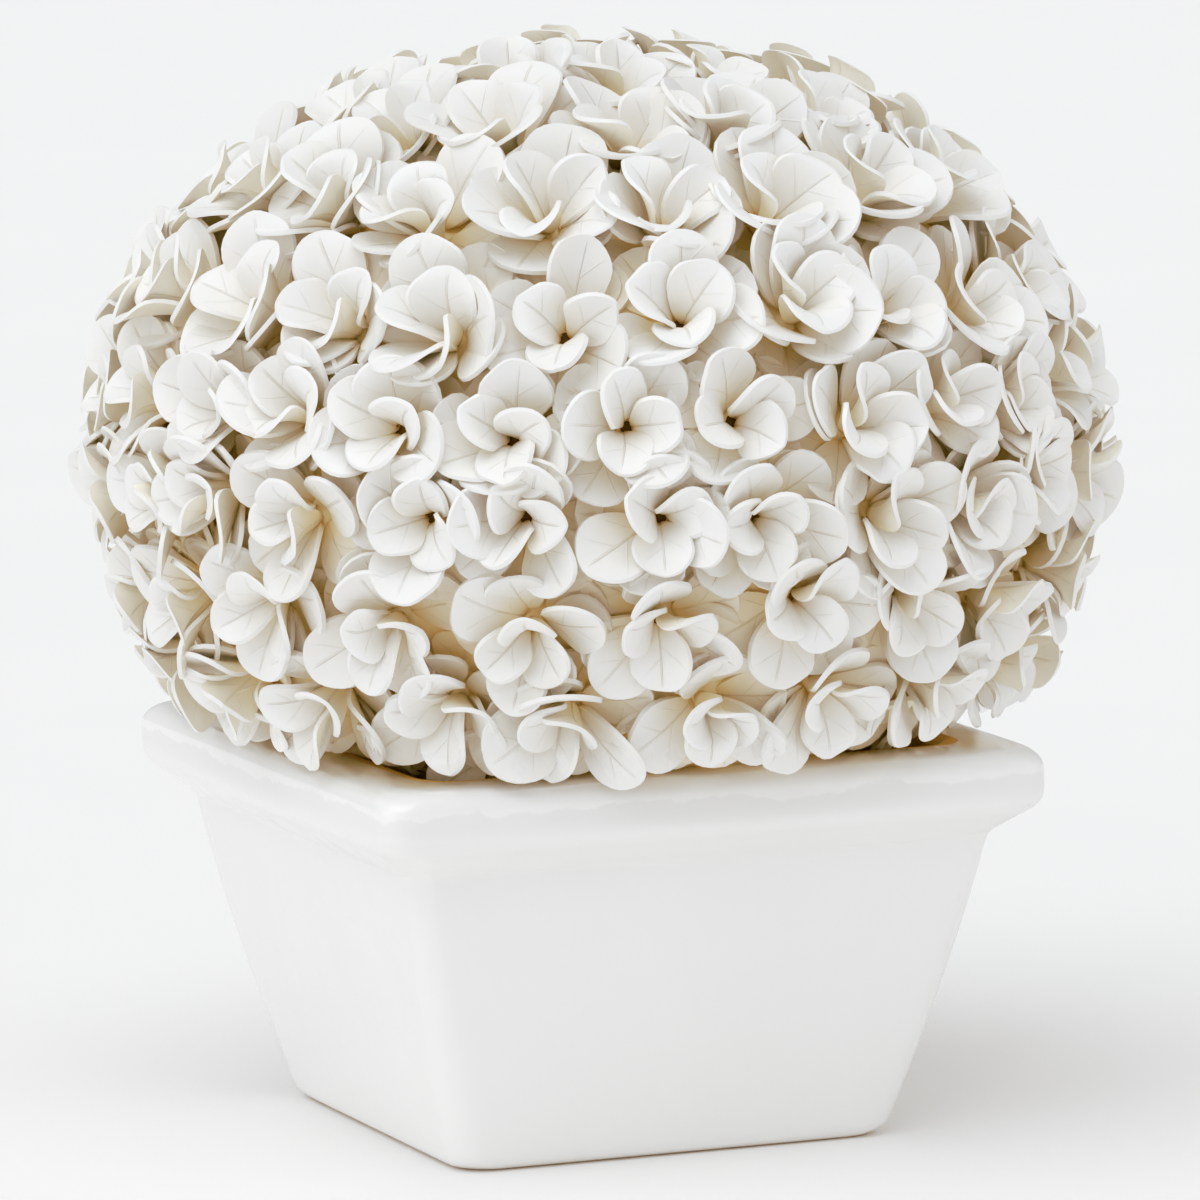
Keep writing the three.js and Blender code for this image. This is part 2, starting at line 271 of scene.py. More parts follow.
def vein_lines(tree, across, along):
    """1 in the grooves of the midrib and the side veins, and 0 between them."""
    aside = maths(tree, "ABSOLUTE", across)
    midrib = times(tree, fade(tree, aside, *MIDRIB_EDGE), fade(tree, along, *MIDRIB_TIP))
    lag = times(tree, soft_step(tree, across, -MIDDLE, MIDDLE), VEIN_LAG)
    swept = maths(tree, "SUBTRACT", times(tree, along, VEINS_A_SIDE), times(tree, aside, VEIN_SWEEP))
    turns = maths(tree, "ADD", maths(tree, "ADD", swept, lag), WHOLE_TURNS)
    off_line = maths(tree, "SUBTRACT", maths(tree, "FRACT", turns), 0.5)
    side = fade(tree, maths(tree, "ABSOLUTE", off_line), *VEIN_EDGE, VEIN_SHARE)
    side = times(tree, side, fade(tree, aside, *VEIN_ENDS))
    side = times(tree, side, soft_step(tree, along, *VEIN_FIRST))
    side = times(tree, side, fade(tree, along, *VEIN_LAST))
    return maths(tree, "MAXIMUM", midrib, side)


def warm_shade_share(tree, along, height, warmth):
    """How much warm painted shade the clay gets: most at the leaf's foot and near the ball, and a trace
    further up.
    """
    low_shade = [number + growth * warmth for number, growth in zip(LOW_SHADE, LOW_SHADE_GROWTH)]
    foot = fade(tree, along, FOOT_SHADE_FROM, warmth, FOOT_SHADE_SHARE)
    near_ball = maths(tree, "MAXIMUM", foot, fade(tree, height, *low_shade))
    return maths(tree, "MAXIMUM", near_ball, fade(tree, along, *WHOLE_SHADE))


def leaf_material(name, clay_colour, roughness, coat, warmth):
    """warmth is how far up the leaf, from 0 to 1, the warm painted shade reaches from its foot."""
    material, tree, shader = new_material(name)
    across, along = leaf_place(tree)
    depth = tree.nodes.new("ShaderNodeAttribute")
    depth.attribute_name = HEIGHT_NAME
    height = depth.outputs["Fac"]
    uneven = grain(tree, LEAF_GRAIN)
    veins = times(tree, vein_lines(tree, across, along), soft_step(tree, uneven, *WORN, *WORN_SHARE))
    mottle = soft_step(tree, uneven, *MOTTLE, *MOTTLE_SHARE)
    # Painted warm shade, with a random warm mottle on top of it
    warm = maths(tree, "ADD", warm_shade_share(tree, along, height, warmth), mottle, True)
    # Painted shade: tan near the ball, and dark brown in the throat at the foot of each leaf
    tan, throat = fade(tree, height, *NEAR_BALL_SHADE), fade(tree, along, *THROAT_SHADE_SPAN)
    # The grooves: a trace of tan and painted shade
    grooves = times(tree, veins, GROOVE_TINT)
    for share, tint in ((warm, WARM_SHADE), (tan, TAN_SHADE), (throat, THROAT_SHADE), (grooves, VEIN_TAN_AND_SHADE)):
        clay_colour = blend_colours(tree, share, clay_colour, tint)
    tree.links.new(clay_colour, shader.inputs["Base Color"])
    drift = COATED_DRIFT if coat else BARE_DRIFT
    drifting_roughness(tree, shader, uneven, roughness - drift, roughness + drift)
    shader.inputs["Coat Weight"].default_value = coat
    shader.inputs["Coat Roughness"].default_value = COAT_ROUGHNESS
    pressed = maths(tree, "SUBTRACT", times(tree, uneven, PRESSED_GRAIN), veins)
    tree.links.new(bump(tree, pressed, PRESSED_DEPTH, PRESSED_STRENGTH), shader.inputs["Normal"])
    return material


def clay_material(name, light, dark, roughness):
    """Matte, a little uneven clay in patches of two colours: the ball's tan, and the painted shade of the
    stalks, the holes and the planter's inside.
    """
    material, tree, shader = new_material(name)
    patches = soft_step(tree, grain(tree, *CLAY_PATCHES), *NOISE_SPAN)
    tree.links.new(blend_colours(tree, patches, dark, light), shader.inputs["Base Color"])
    drifting_roughness(tree, shader, grain(tree, CLAY_DRIFT_GRAIN), roughness - CLAY_DRIFT, roughness)
    pores = grain_bump(tree, CLAY_PORES, grain_bump(tree, CLAY_DABS))
    tree.links.new(pores, shader.inputs["Normal"])
    return material


leaf_clay = leaf_material("leaf_clay", WHITE_CLAY, 0.5, 0.0, 0.28)
# The backs take the shaded copy, with the painted shade reaching further up the leaf
shaded_back_clay = leaf_material("leaf_back_shaded_clay", SHADED_BACK_CLAY, 0.6, 0.0, 0.55)
dipped_clay = leaf_material("dipped_clay", WHITE_CLAY, 0.3, 0.9, 0.28)
# The stalks are painted with the warm and tan painted shade
shaded_stalk_clay = clay_material("shaded_stalk_clay", WARM_SHADE, TAN_SHADE, 0.75)
# The holes are painted nearly black, as painted shade
hole_shade = clay_material("hole_shade", HOLE_SHADE, HOLE_SHADE, 0.85)
ball_clay = clay_material("ball_clay", BALL_LIGHT, BALL_DARK, 0.8)
# The planter's unglazed inside and the stem: dark brown painted shade
shaded_bare_clay = clay_material("shaded_bare_clay", SHADED_BARE_LIGHT, SHADED_BARE_DARK, 0.85)
print("leaf finishes:", leaf_clay.name, shaded_back_clay.name, dipped_clay.name)

# %% [markdown]
# ## The glaze of the planter
#
# The planter is dipped in white glaze. High on the face of the rim a painted reflection ends in a
# ragged line: the glaze is white above it and a little grey just under it. Inside the mouth the
# glaze is painted cream, as warm painted shade under the leaves. Noise bends the borders of the colours.

# %% Planter glaze
GLAZE_WHITE = (0.94, 0.932, 0.915, 1)
CLOUD_AND_REFLECTION_GREY = (0.83, 0.825, 0.81, 1)
SHADE_CREAM = (0.86, 0.74, 0.54, 1)
# Heights and half widths in metres
REFLECTION_LINE, REFLECTION_SWING, REFLECTION_EDGE = 0.0836, 0.0045, 0.0008
RIM_FACE, REFLECTION_GREY_SHARE = (0.0765, 0.0815), (0.12, 0.75)
CREAM_HALF, CREAM_SHARE, CREAM_RAGGED, CREAM_Z = (0.068, 0.077), 0.9, 0.006, (0.07, 0.08)
REFLECTION_GRAIN, CREAM_GRAIN, CLOUD_GRAIN, DRIFT_GRAIN = (55, 5.0, 0.62), (130, 3.0), (22, 3.0), (60, 3.0)
CLOUDS, CLOUD_SHARE = (0.35, 0.7), (0.0, 0.14)
GLAZE_ROUGHNESS, GLAZE_COAT, GLAZE_COAT_ROUGHNESS = (0.11, 0.23), 0.35, 0.05
GLAZE_WAVES, GLAZE_PORES = (45, 3.0, 0.0005, 0.4), (700, 2.0, 0.00003, 0.5)


def reflection_grey(tree, height):
    """How grey the painted reflection leaves the glaze: most on the rim's face just under its ragged edge."""
    swing = times(tree, maths(tree, "SUBTRACT", grain(tree, *REFLECTION_GRAIN), 0.5), REFLECTION_SWING * 2)
    bent_height = maths(tree, "ADD", height, swing)
    under_line = fade(tree, bent_height, REFLECTION_LINE - REFLECTION_EDGE, REFLECTION_LINE)
    return times(tree, under_line, soft_step(tree, height, *RIM_FACE, *REFLECTION_GREY_SHARE))


def mouth_shade(tree, place, height):
    """1 inside the planter's mouth, where the cream painted shade goes, with a ragged border."""
    wide = maths(tree, "MAXIMUM", *(maths(tree, "ABSOLUTE", place.outputs[side]) for side in "XY"))
    ragged = maths(tree, "ADD", wide, times(tree, grain(tree, *CREAM_GRAIN), CREAM_RAGGED))
    inside = fade(tree, ragged, *CREAM_HALF, CREAM_SHARE)
    return times(tree, inside, soft_step(tree, height, *CREAM_Z))


def glaze_material():
    """White glaze with grey clouds, a painted reflection that leaves it grey under a ragged line on the rim's
    face, and cream painted shade inside the mouth.
    """
    material, tree, shader = new_material("planter_glaze")
    place = tree.nodes.new("ShaderNodeSeparateXYZ")
    tree.links.new(object_place(tree), place.inputs["Vector"])
    height = place.outputs["Z"]
    # Painted reflection: white above a ragged line high on the rim's face, grey just under it
    colour = blend_colours(tree, reflection_grey(tree, height), GLAZE_WHITE, CLOUD_AND_REFLECTION_GREY)
    clouds = soft_step(tree, grain(tree, *CLOUD_GRAIN), *CLOUDS, *CLOUD_SHARE)
    colour = blend_colours(tree, clouds, colour, CLOUD_AND_REFLECTION_GREY)
    # Painted shade: cream inside the mouth, under the leaves
    colour = blend_colours(tree, mouth_shade(tree, place, height), colour, SHADE_CREAM)
    tree.links.new(colour, shader.inputs["Base Color"])
    drifting_roughness(tree, shader, grain(tree, *DRIFT_GRAIN), *GLAZE_ROUGHNESS)
    shader.inputs["Coat Weight"].default_value = GLAZE_COAT
    shader.inputs["Coat Roughness"].default_value = GLAZE_COAT_ROUGHNESS
    pores = grain_bump(tree, GLAZE_PORES, grain_bump(tree, GLAZE_WAVES))
    tree.links.new(pores, shader.inputs["Normal"])
    return material


planter_glaze = glaze_material()
print("the glaze has", len(planter_glaze.node_tree.nodes), "nodes")

# %% [markdown]
# ## The planter's profile
#
# The real one is slip-cast: liquid clay is poured into a square mould, and once a wall has set
# against the mould the rest is tipped out. So its outside is a stack of rounded squares and its
# wall is even. The profile is that stack: half sizes and heights, with an arc at each rounding.

# %% Planter profile
BASE_HALF, BODY_TOP_HALF, BODY_TOP_Z, BODY_BULGE = 51.5, 69, 68, 1.1
RIM_HALF, RIM_UNDER_Z, RIM_TOP_Z = 78.5, 77.5, 88.8
MOUTH_HALF, MOUTH_ROLL, NECK_ROUND, MOUTH_DRAFT = 60.5, 3.2, 3.4, 0.5
EDGE_ROUND, RIM_ROUND, WALL, FLOOR, FLOOR_FILLET = 4.2, 5.5, 8, 7, 5
BODY_HEIGHTS, INSIDE_MIDDLE_Z, SEAM = (12, 22, 32, 42, 52, 60), 34, 1.2


def body_half(z):
    """Half the body's width at a height: it widens upwards and bulges a little half way."""
    part = z / BODY_TOP_Z
    return BASE_HALF + (BODY_TOP_HALF - BASE_HALF) * part + BODY_BULGE * 4 * part * (1 - part)


def arc(x, z, radius, start, end, steps):
    """Points on an arc round x and z, from one angle to another in degrees."""
    turns = [math.radians(start + (end - start) * step / steps) for step in range(steps + 1)]
    return [(x + radius * math.cos(turn), z + radius * math.sin(turn)) for turn in turns]


def planter_profile():
    """Half sizes and heights from the foot, up the outside and down the inside, in mm."""
    rings = arc(body_half(EDGE_ROUND) - EDGE_ROUND, EDGE_ROUND, EDGE_ROUND, -90, -10, 4)
    rings += [(body_half(z), z) for z in BODY_HEIGHTS]
    rings += arc(BODY_TOP_HALF + MOUTH_ROLL, BODY_TOP_Z - SEAM, NECK_ROUND, 178, 116, 3)
    rings += arc(RIM_HALF - RIM_ROUND, RIM_UNDER_Z + SEAM, RIM_ROUND, -66, 0, 4)
    rings += arc(RIM_HALF - EDGE_ROUND, RIM_TOP_Z - EDGE_ROUND, EDGE_ROUND, 0, 90, 4)
    rings += arc(MOUTH_HALF + MOUTH_ROLL, RIM_TOP_Z - MOUTH_ROLL, MOUTH_ROLL, 90, 180, 3)
    rings += [(MOUTH_HALF + MOUTH_DRAFT, BODY_TOP_Z), (body_half(INSIDE_MIDDLE_Z) - WALL, INSIDE_MIDDLE_Z)]
    inside_half = body_half(FLOOR) - WALL - FLOOR_FILLET
    rings += arc(inside_half, FLOOR + FLOOR_FILLET, FLOOR_FILLET, -15, -90, 3)
    return rings


print("planter rings:", len(planter_profile()))

# %% [markdown]
# ## The planter's mesh
#
# One square face under the foot is extruded ring by ring up the outside, over the rim and down
# the inside. The four corner columns are then bevelled in one go, the long sides are cut so
# that the hand's wobble has points to move, and a Subdivision Surface modifier smooths it all.

# %% Planter mesh
HAND_WOBBLE, SWELL_LENGTH, SWELL_RISE, FOOT_REST = 0.44, 38, 0.5, 6
CORNER_RADIUS, CORNER_STEPS, SIDE_CUTS, PLANTER_LEVELS = 7, 5, 9, 2
SAME, NECK_BELOW = 1e-3, 1


def pull_ring(bm, edges, half, z):
    """Extrudes a square loop of edges and sets the new loop's half size and height."""
    grown = bmesh.ops.extrude_edge_only(bm, edges=edges)["geom"]
    for vert in (item for item in grown if isinstance(item, bmesh.types.BMVert)):
        vert.co.x = math.copysign(half, vert.co.x)
        vert.co.y = math.copysign(half, vert.co.y)
        vert.co.z = z
    return [item for item in grown if isinstance(item, bmesh.types.BMEdge)]


def is_column(edge):
    """True for an edge that runs up one of the four corners."""
    foot, head = (vert.co for vert in edge.verts)
    return abs(abs(foot.x) - abs(foot.y)) < SAME and foot.x * head.x > 0 and foot.y * head.y > 0


def is_long_side(edge):
    """True for a level edge that runs along a whole side."""
    start, end = (vert.co for vert in edge.verts)
    return (start - end).length > BASE_HALF and abs(start.z - end.z) < SAME


def inside_wall(point):
    """True on the inside of the planter, below the glazed roll of its mouth."""
    wide = max(abs(point.x), abs(point.y))
    in_neck = point.z > BODY_TOP_Z - NECK_BELOW
    limit = MOUTH_HALF + MOUTH_ROLL if in_neck else body_half(point.z) - WALL / 2
    return wide < limit and point.z > FLOOR / 2


def hand_moved(point):
    """Slip-cast walls are never quite flat: a slow swell moves each point by a fraction of a mm."""
    swell = noise.noise_vector(point / SWELL_LENGTH)
    share = min(1, point.z / FOOT_REST)
    return point + Vector((swell.x, swell.y, swell.z * SWELL_RISE)) * HAND_WOBBLE * share


def shown_piece(name, mesh, levels=0):
    """An object that shows the mesh, subdivided that many times."""
    piece = bpy.data.objects.new(name, mesh)
    show(piece)
    if levels:
        smoothing = piece.modifiers.new("smooth", "SUBSURF")
        smoothing.levels = smoothing.render_levels = levels
    return piece


def finish_piece(bm, name, materials, levels=0):
    """Writes the bmesh, which is in mm, into a smooth shaded object in metres."""
    bmesh.ops.recalc_face_normals(bm, faces=bm.faces)
    bmesh.ops.scale(bm, vec=(MM, MM, MM), verts=bm.verts)
    mesh = bpy.data.meshes.new(name)
    bm.to_mesh(mesh)
    bm.free()
    mesh.shade_smooth()
    for material in materials:
        mesh.materials.append(material)
    print(name, "has", len(mesh.polygons), "faces before smoothing")
    return shown_piece(name, mesh, levels)


def make_planter():
    """The planter: glazed outside and over the rim, and unglazed inside, where it is painted dark brown as
    painted shade.
    """
    (foot_half, _), *rings = planter_profile()
    bm = bmesh.new()
    bmesh.ops.create_grid(bm, x_segments=1, y_segments=1, size=foot_half)
    loop = list(bm.edges)
    for half, z in rings:
        loop = pull_ring(bm, loop, half, z)
    bmesh.ops.edgeloop_fill(bm, edges=loop)
    columns = [edge for edge in bm.edges if is_column(edge)]
    bmesh.ops.bevel(bm, geom=columns, offset=CORNER_RADIUS, segments=CORNER_STEPS, profile=0.5,
                    affect="EDGES", material=-1, clamp_overlap=True)
    sides = [edge for edge in bm.edges if is_long_side(edge)]
    bmesh.ops.subdivide_edges(bm, edges=sides, cuts=SIDE_CUTS, use_grid_fill=True)
    for face in bm.faces:
        # Slot 1 puts the dark brown painted shade on the inside below the mouth's roll
        face.material_index = int(inside_wall(face.calc_center_median()))
    for vert in bm.verts:
        vert.co = hand_moved(vert.co)
    return finish_piece(bm, "planter_glazed", [planter_glaze, shaded_bare_clay], PLANTER_LEVELS)


planter = make_planter()
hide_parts("planter")
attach(planter, "root")

# %% [markdown]
# ## The ball
#
# Under the leaves is a tan clay ball, a little flatter above its middle than below. It starts
# as a sphere, is stretched to its own height above and below, and is cut flat where it stands
# on the stem. Finger marks come from a slow noise along each point's direction. The stem under
# it is the CAD's own, and gets the same dark brown painted shade as the planter's inside.

# %% Ball mesh
BALL_X, BALL_Y, BALL_Z = 3, -1, 151
BALL_HALF, BALL_RISE, BALL_DROP, BALL_FOOT_Z = 94, 72, 80, 76
BALL_MERIDIANS, BALL_PARALLELS = 72, 40
SKIN, FINGER_MARK, FINGER_WIDTH = 5.2, 0.6, 9


def make_ball():
    """The clay ball. Its skin lies outside the CAD ball, where clay shows between leaves."""
    bm = bmesh.new()
    bmesh.ops.create_uvsphere(bm, u_segments=BALL_MERIDIANS, v_segments=BALL_PARALLELS, radius=1)
    around = BALL_HALF + SKIN
    for vert in bm.verts:
        way = vert.co.copy()
        depth = (BALL_RISE if way.z > 0 else BALL_DROP) + SKIN
        vert.co = Vector((way.x * around, way.y * around, way.z * depth))
        vert.co += way * noise.noise(vert.co / FINGER_WIDTH) * FINGER_MARK
        vert.co += Vector((BALL_X, BALL_Y, BALL_Z))
    everything = list(bm.verts) + list(bm.edges) + list(bm.faces)
    cut = bmesh.ops.bisect_plane(bm, geom=everything, plane_co=(0, 0, BALL_FOOT_Z), plane_no=(0, 0, -1),
                                 clear_outer=True)["geom_cut"]
    bmesh.ops.edgeloop_fill(bm, edges=[item for item in cut if isinstance(item, bmesh.types.BMEdge)])
    return finish_piece(bm, "clay_ball", [ball_clay])


ball = make_ball()
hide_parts("ball")
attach(ball, "root")
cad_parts["stem"].data.materials.clear()
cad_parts["stem"].data.materials.append(shaded_bare_clay)

# %% [markdown]
# ## Where the rosettes sit
#
# The leaves are pressed on in rosettes, in ten rings from the top of the ball to the rim. Each
# ring has a latitude, a count and a first azimuth. A small repeatable wander keeps the rings
# from looking printed: it is a sine with a large multiplier, which gives the same number on
# every run. Each use of it has a salt of its own, so that no two kinds of wander match. The
# rosettes near the top are pressed on so that they look outwards rather than straight up.

# %% Rosette seats
ROWS = [(90, 1, 0), (77, 6, -95), (60.5, 13, -106), (44, 18, -120.5), (26, 23, -116.5),
        (10.5, 26, -109.6), (-2.5, 26, -106.5), (-16.5, 21, -104.4), (-30, 20, -116), (-41.5, 17, -110)]
LOWEST_AIM, SEAT_WANDER, AIM_WANDER = -30, 1.6, 0.14
BUD_HEIGHT, LOOK_OUT, LOOK_OUT_POWER = 13, 0.6, 3
INDEX_STEP, SALT_STEP, WAVE_SIZE = 12.9898, 78.233, 43758.5453


def wander(index, salt):
    """A number from -1 to 1 that looks random and is always the same for the same two inputs."""
    wave = math.sin(index * INDEX_STEP + salt * SALT_STEP) * WAVE_SIZE
    return 2 * (wave - math.floor(wave)) - 1


def on_ball(latitude, off=0):
    """Distance from the ball's axis and height above its middle, off mm outside its surface."""
    across, up = math.cos(latitude * DEGREE), math.sin(latitude * DEGREE)
    depth = BALL_DROP if up < 0 else BALL_RISE
    out = Vector((across / BALL_HALF, up / depth)).normalized()
    return Vector((max(0, BALL_HALF * across + off * out.x), depth * up + off * out.y))


def seat_on(row, place, index):
    """A rosette's seat on the ball, its own axes and its bud, half way up its leaves."""
    latitude, count, first = ROWS[row]
    shift = SEAT_WANDER if row else 0
    latitude += shift * wander(index, 1)
    azimuth = (first + 360 * place / count + shift * wander(index, 2)) * DEGREE
    surface = on_ball(latitude)
    lifted = on_ball(latitude, 1) - surface
    aim = max(math.atan2(lifted.y, lifted.x), LOWEST_AIM * DEGREE)
    outward = Vector((math.cos(azimuth), math.sin(azimuth), 0))
    seat = Vector((BALL_X, BALL_Y, BALL_Z + surface.y)) + outward * surface.x
    axis = Vector((0, 0, math.sin(aim))) + outward * math.cos(aim)
    axis += AIM_WANDER * Vector([wander(index, salt) for salt in (3, 4, 5)])
    axis.normalize()
    normal = axis.copy()
    axis.z *= 1 - LOOK_OUT * max(0, normal.z) ** LOOK_OUT_POWER
    axis.normalize()
    east = Vector((-math.sin(azimuth), math.cos(azimuth), 0))
    east = (east - axis * east.dot(axis)).normalized()
    return {"row": row, "index": index, "seat": seat, "normal": normal, "axis": axis, "east": east,
            "north": axis.cross(east), "turn": math.pi * wander(index, 6), "bud": seat + normal * BUD_HEIGHT}


def all_seats():
    """Every rosette's seat. Rosettes are numbered from 1 at the top of the ball."""
    seats = []
    for row, (_, count, _) in enumerate(ROWS):
        seats += [seat_on(row, place, len(seats) + place + 1) for place in range(count)]
    return seats


seats = all_seats()
print("rosettes:", len(seats))

# %% [markdown]
# ## One flat leaf
#
# A boxwood leaf is a blunt oval. A leaf blank is made once, flat, with few faces: a small grid
# is pushed out into a disc, so that its edge has no sharp corners, and extruded to a thin slab.
# Two narrow strips run down the middle for the midrib. Every real leaf is a bent copy of one of
# three blanks: a fine one for cups, a plain one, and a simple one for leaves that lie low.

# %% Leaf blank
FINE_COLUMNS, FINE_ROWS = (-1, -0.56, -0.1, 0, 0.1, 0.56, 1), (-1, -0.62, -0.22, 0.22, 0.64, 1)
PLAIN_COLUMNS, PLAIN_ROWS = (-1, -0.52, 0, 0.52, 1), (-1, -0.5, 0.05, 0.58, 1)
LOW_COLUMNS, LOW_ROWS = (-1, 0, 1), (-1, -0.3, 0.4, 1)
TOP, RIM, UNDER = 0, 1, 2
AT_EDGE = 0.98


def leaf_blank(columns, rows):
    """A disc of thickness 1: x across from -1 to 1, y from foot to tip, z through the leaf."""
    bm = bmesh.new()
    bmesh.ops.create_grid(bm, x_segments=len(columns) - 1, y_segments=len(rows) - 1, size=1)
    for vert in bm.verts:
        x = columns[round((vert.co.x + 1) / 2 * (len(columns) - 1))]
        y = rows[round((vert.co.y + 1) / 2 * (len(rows) - 1))]
        vert.co = Vector((x * math.sqrt(1 - y * y / 2), y * math.sqrt(1 - x * x / 2), 0))
    grown = bmesh.ops.extrude_face_region(bm, geom=list(bm.faces))["geom"]
    bmesh.ops.translate(bm, vec=(0, 0, 1), verts=[v for v in grown if isinstance(v, bmesh.types.BMVert)])
    bmesh.ops.recalc_face_normals(bm, faces=bm.faces)
    bm.verts.index_update()
    points = np.array([vert.co[:] for vert in bm.verts])
    faces = np.array([[vert.index for vert in face.verts] for face in bm.faces])
    bm.free()
    height = points[faces, 2]
    kind = np.where(height.min(1) > 0.5, TOP, np.where(height.max(1) < 0.5, UNDER, RIM))
    return {"points": points, "faces": faces, "kind": kind,
            "edge": np.hypot(points[:, 0], points[:, 1]) > AT_EDGE,
            "foot": points[:, 1] < -AT_EDGE, "tip": points[:, 1] > AT_EDGE}


FINE_BLANK = leaf_blank(FINE_COLUMNS, FINE_ROWS)
PLAIN_BLANK = leaf_blank(PLAIN_COLUMNS, PLAIN_ROWS)
LOW_BLANK = leaf_blank(LOW_COLUMNS, LOW_ROWS)
print("leaf blanks:", [len(blank["faces"]) for blank in (FINE_BLANK, PLAIN_BLANK, LOW_BLANK)], "faces")

# %% [markdown]
# ## Bending the blank
#
# Each leaf curves outwards along its length, cups across its width and leans about its midrib,
# so that in a rosette every leaf lies over one neighbour and under the other, like a pinwheel.
# Arcs do both bends, because an arc keeps the leaf's length and width true. The outline is cut
# by hand, so it waves a little and has two small nicks.

# %% Bent leaf
THICK, FOOT_THICK, FOOT_TAPER = 1.1, 1.3, 2.4
GROOVE, GROOVE_HALF, GROOVE_START, GROOVE_FADE, BACK_RIDGE = 0.4, 0.07, 1.4, 1.15, 0.3
WAIST, WIDEST, OUTLINE_ALONG = 0.42, 1.35, 0.6
FOOT_CUP, CUP_LOSS, LEAST_CUP = 1.7, 1.1, 0.05
RIPPLE_ALONG, RIPPLE_ACROSS, RIPPLE_POWER = 5.2, 1.3, 1.5
# How often the outline waves in one round, how far, and the wave's salt
WAVES, WAVE_SHIFT = ((2, 0.035, 21), (5, 0.022, 22), (9, 0.016, 25)), 3
# How deep a nick is, half its width in radians, and the salt of its place
NICKS, NICK_SPREAD = ((0.12, 0.2, 23), (0.08, 0.15, 26)), 2.2


def smooth(value):
    """Smoothly from 0 to 1, and level outside them."""
    value = np.clip(value, 0, 1)
    return value * value * (3 - 2 * value)


def cut_by_hand(blank, code):
    """How far each point of the outline is out or in: slow waves and two small nicks."""
    turn = np.arctan2(blank["points"][:, 0], blank["points"][:, 1])
    waves = sum(far * np.sin(often * turn + WAVE_SHIFT * wander(code, salt)) for often, far, salt in WAVES)
    nicks = sum(deep * (np.abs(turn - NICK_SPREAD * wander(code, salt)) < half) for deep, half, salt in NICKS)
    return blank["edge"] * (waves - nicks)


def bent_leaf(leaf):
    """The blank's points bent to one leaf: out from the axis, aside and up it, in mm."""
    x, y, z = leaf["blank"]["points"].T
    x, y = x * (1 + leaf["outline"]), y * (1 + OUTLINE_ALONG * leaf["outline"])
    along = (y + 1) / 2
    waist = WAIST + (1 - WAIST) * smooth((y + 1) / WIDEST)
    edge_angle = leaf["cup"] * (FOOT_CUP - CUP_LOSS * along)
    lean = leaf["lean"] + leaf["twist"] * along
    fan = edge_angle * x * waist
    round_half = leaf["width"] / 2 / np.maximum(edge_angle, LEAST_CUP)
    curl = leaf["curl"] / leaf["length"]
    start = leaf["tilt"] - leaf["curl"] / 2
    way = start + curl * along * leaf["length"]
    centre_out = leaf["reach"] + (np.cos(start) - np.cos(way)) / curl
    centre_up = leaf["rise"] + (np.sin(way) - np.sin(start)) / curl
    thick = THICK + (FOOT_THICK - THICK) * smooth(1 - along * FOOT_TAPER)
    rib = np.exp(-(x / GROOVE_HALF) ** 2) * smooth(GROOVE_START - along * GROOVE_FADE)
    depth = thick * (z - 0.5) - GROOVE * rib * z + BACK_RIDGE * GROOVE * rib * (1 - z)
    across = round_half * np.sin(fan) - np.sin(fan) * depth
    lift = round_half * (1 - np.cos(fan)) + np.cos(fan) * depth
    wave = leaf["ripple_phase"] + along * RIPPLE_ALONG + x * RIPPLE_ACROSS
    lift += leaf["ripple"] * np.sin(wave) * np.abs(x) ** RIPPLE_POWER
    aside = np.cos(lean) * across - np.sin(lean) * lift
    inward = np.sin(lean) * across + np.cos(lean) * lift
    return np.stack([centre_out - np.cos(way) * inward, aside, centre_up + np.sin(way) * inward], 1)


print("deepest cut in one leaf's edge:", round(-cut_by_hand(FINE_BLANK, 1).min(), 3))

# %% [markdown]
# ## Room round a rosette
#
# Half way between two rosettes is a plane, and the room in any direction is the distance to the
# nearest such plane. A leaf that meets a neighbour stands up, and a leaf with room to spare
# opens into it.
#
# Inner leaves stand up as a cup, outer ones spread round it, low ones lie under both, and a
# fourth kind fills the gaps that three rosettes leave. Lengths are in mm and tilts in degrees.

# %% Leaf sizes
INNER = dict(count=3, offset=0, reach=1.4, rise=6.2, length=17.6, width=16.2, tilt=29, play=10,
             opening=3, curl=0.8, cup=1.05, lean=0.34, overlap=2.6, blank=FINE_BLANK)
OUTER = dict(count=3, offset=0.5, reach=2.1, rise=4.8, length=20.8, width=18.4, tilt=52, play=8,
             opening=16, curl=0.5, cup=0.42, lean=0.24, overlap=3.6, blank=PLAIN_BLANK)
LOW = dict(count=4, offset=0.2, reach=2.2, rise=4.6, length=18.5, width=17, tilt=76, play=5,
           opening=8, curl=0.3, cup=0.2, lean=0.1, overlap=4.5, blank=LOW_BLANK)
GAP = LOW | dict(count=1, offset=0, reach=3, rise=3.8, length=22, tilt=84, play=3, opening=0, overlap=2.5)
ROW_SIZES = (0.86, 1, 1.12, 1.12, 1.07, 1, 1, 1, 1, 0.74)
SKIRT_ROW = 8
NEIGHBOUR_REACH, LEAST_SLOPE = 60, 0.05


def side_of(own, turn):
    """The direction square to the rosette's axis that is turn radians round it."""
    way = own["turn"] + turn
    return own["east"] * math.cos(way) + own["north"] * math.sin(way)


def room_for(own, turn, up):
    """How far from the rosette's axis, along turn and up mm above its seat, its own space goes."""
    start, side = own["seat"] + own["axis"] * up, side_of(own, turn)
    room = NEIGHBOUR_REACH
    for other in own["near"]:
        between = (other["bud"] - own["bud"]).normalized()
        slope = side.dot(between)
        if slope > LEAST_SLOPE:
            middle = (other["bud"] + own["bud"]) / 2
            room = min(room, (middle - start).dot(between) / slope)
    return room


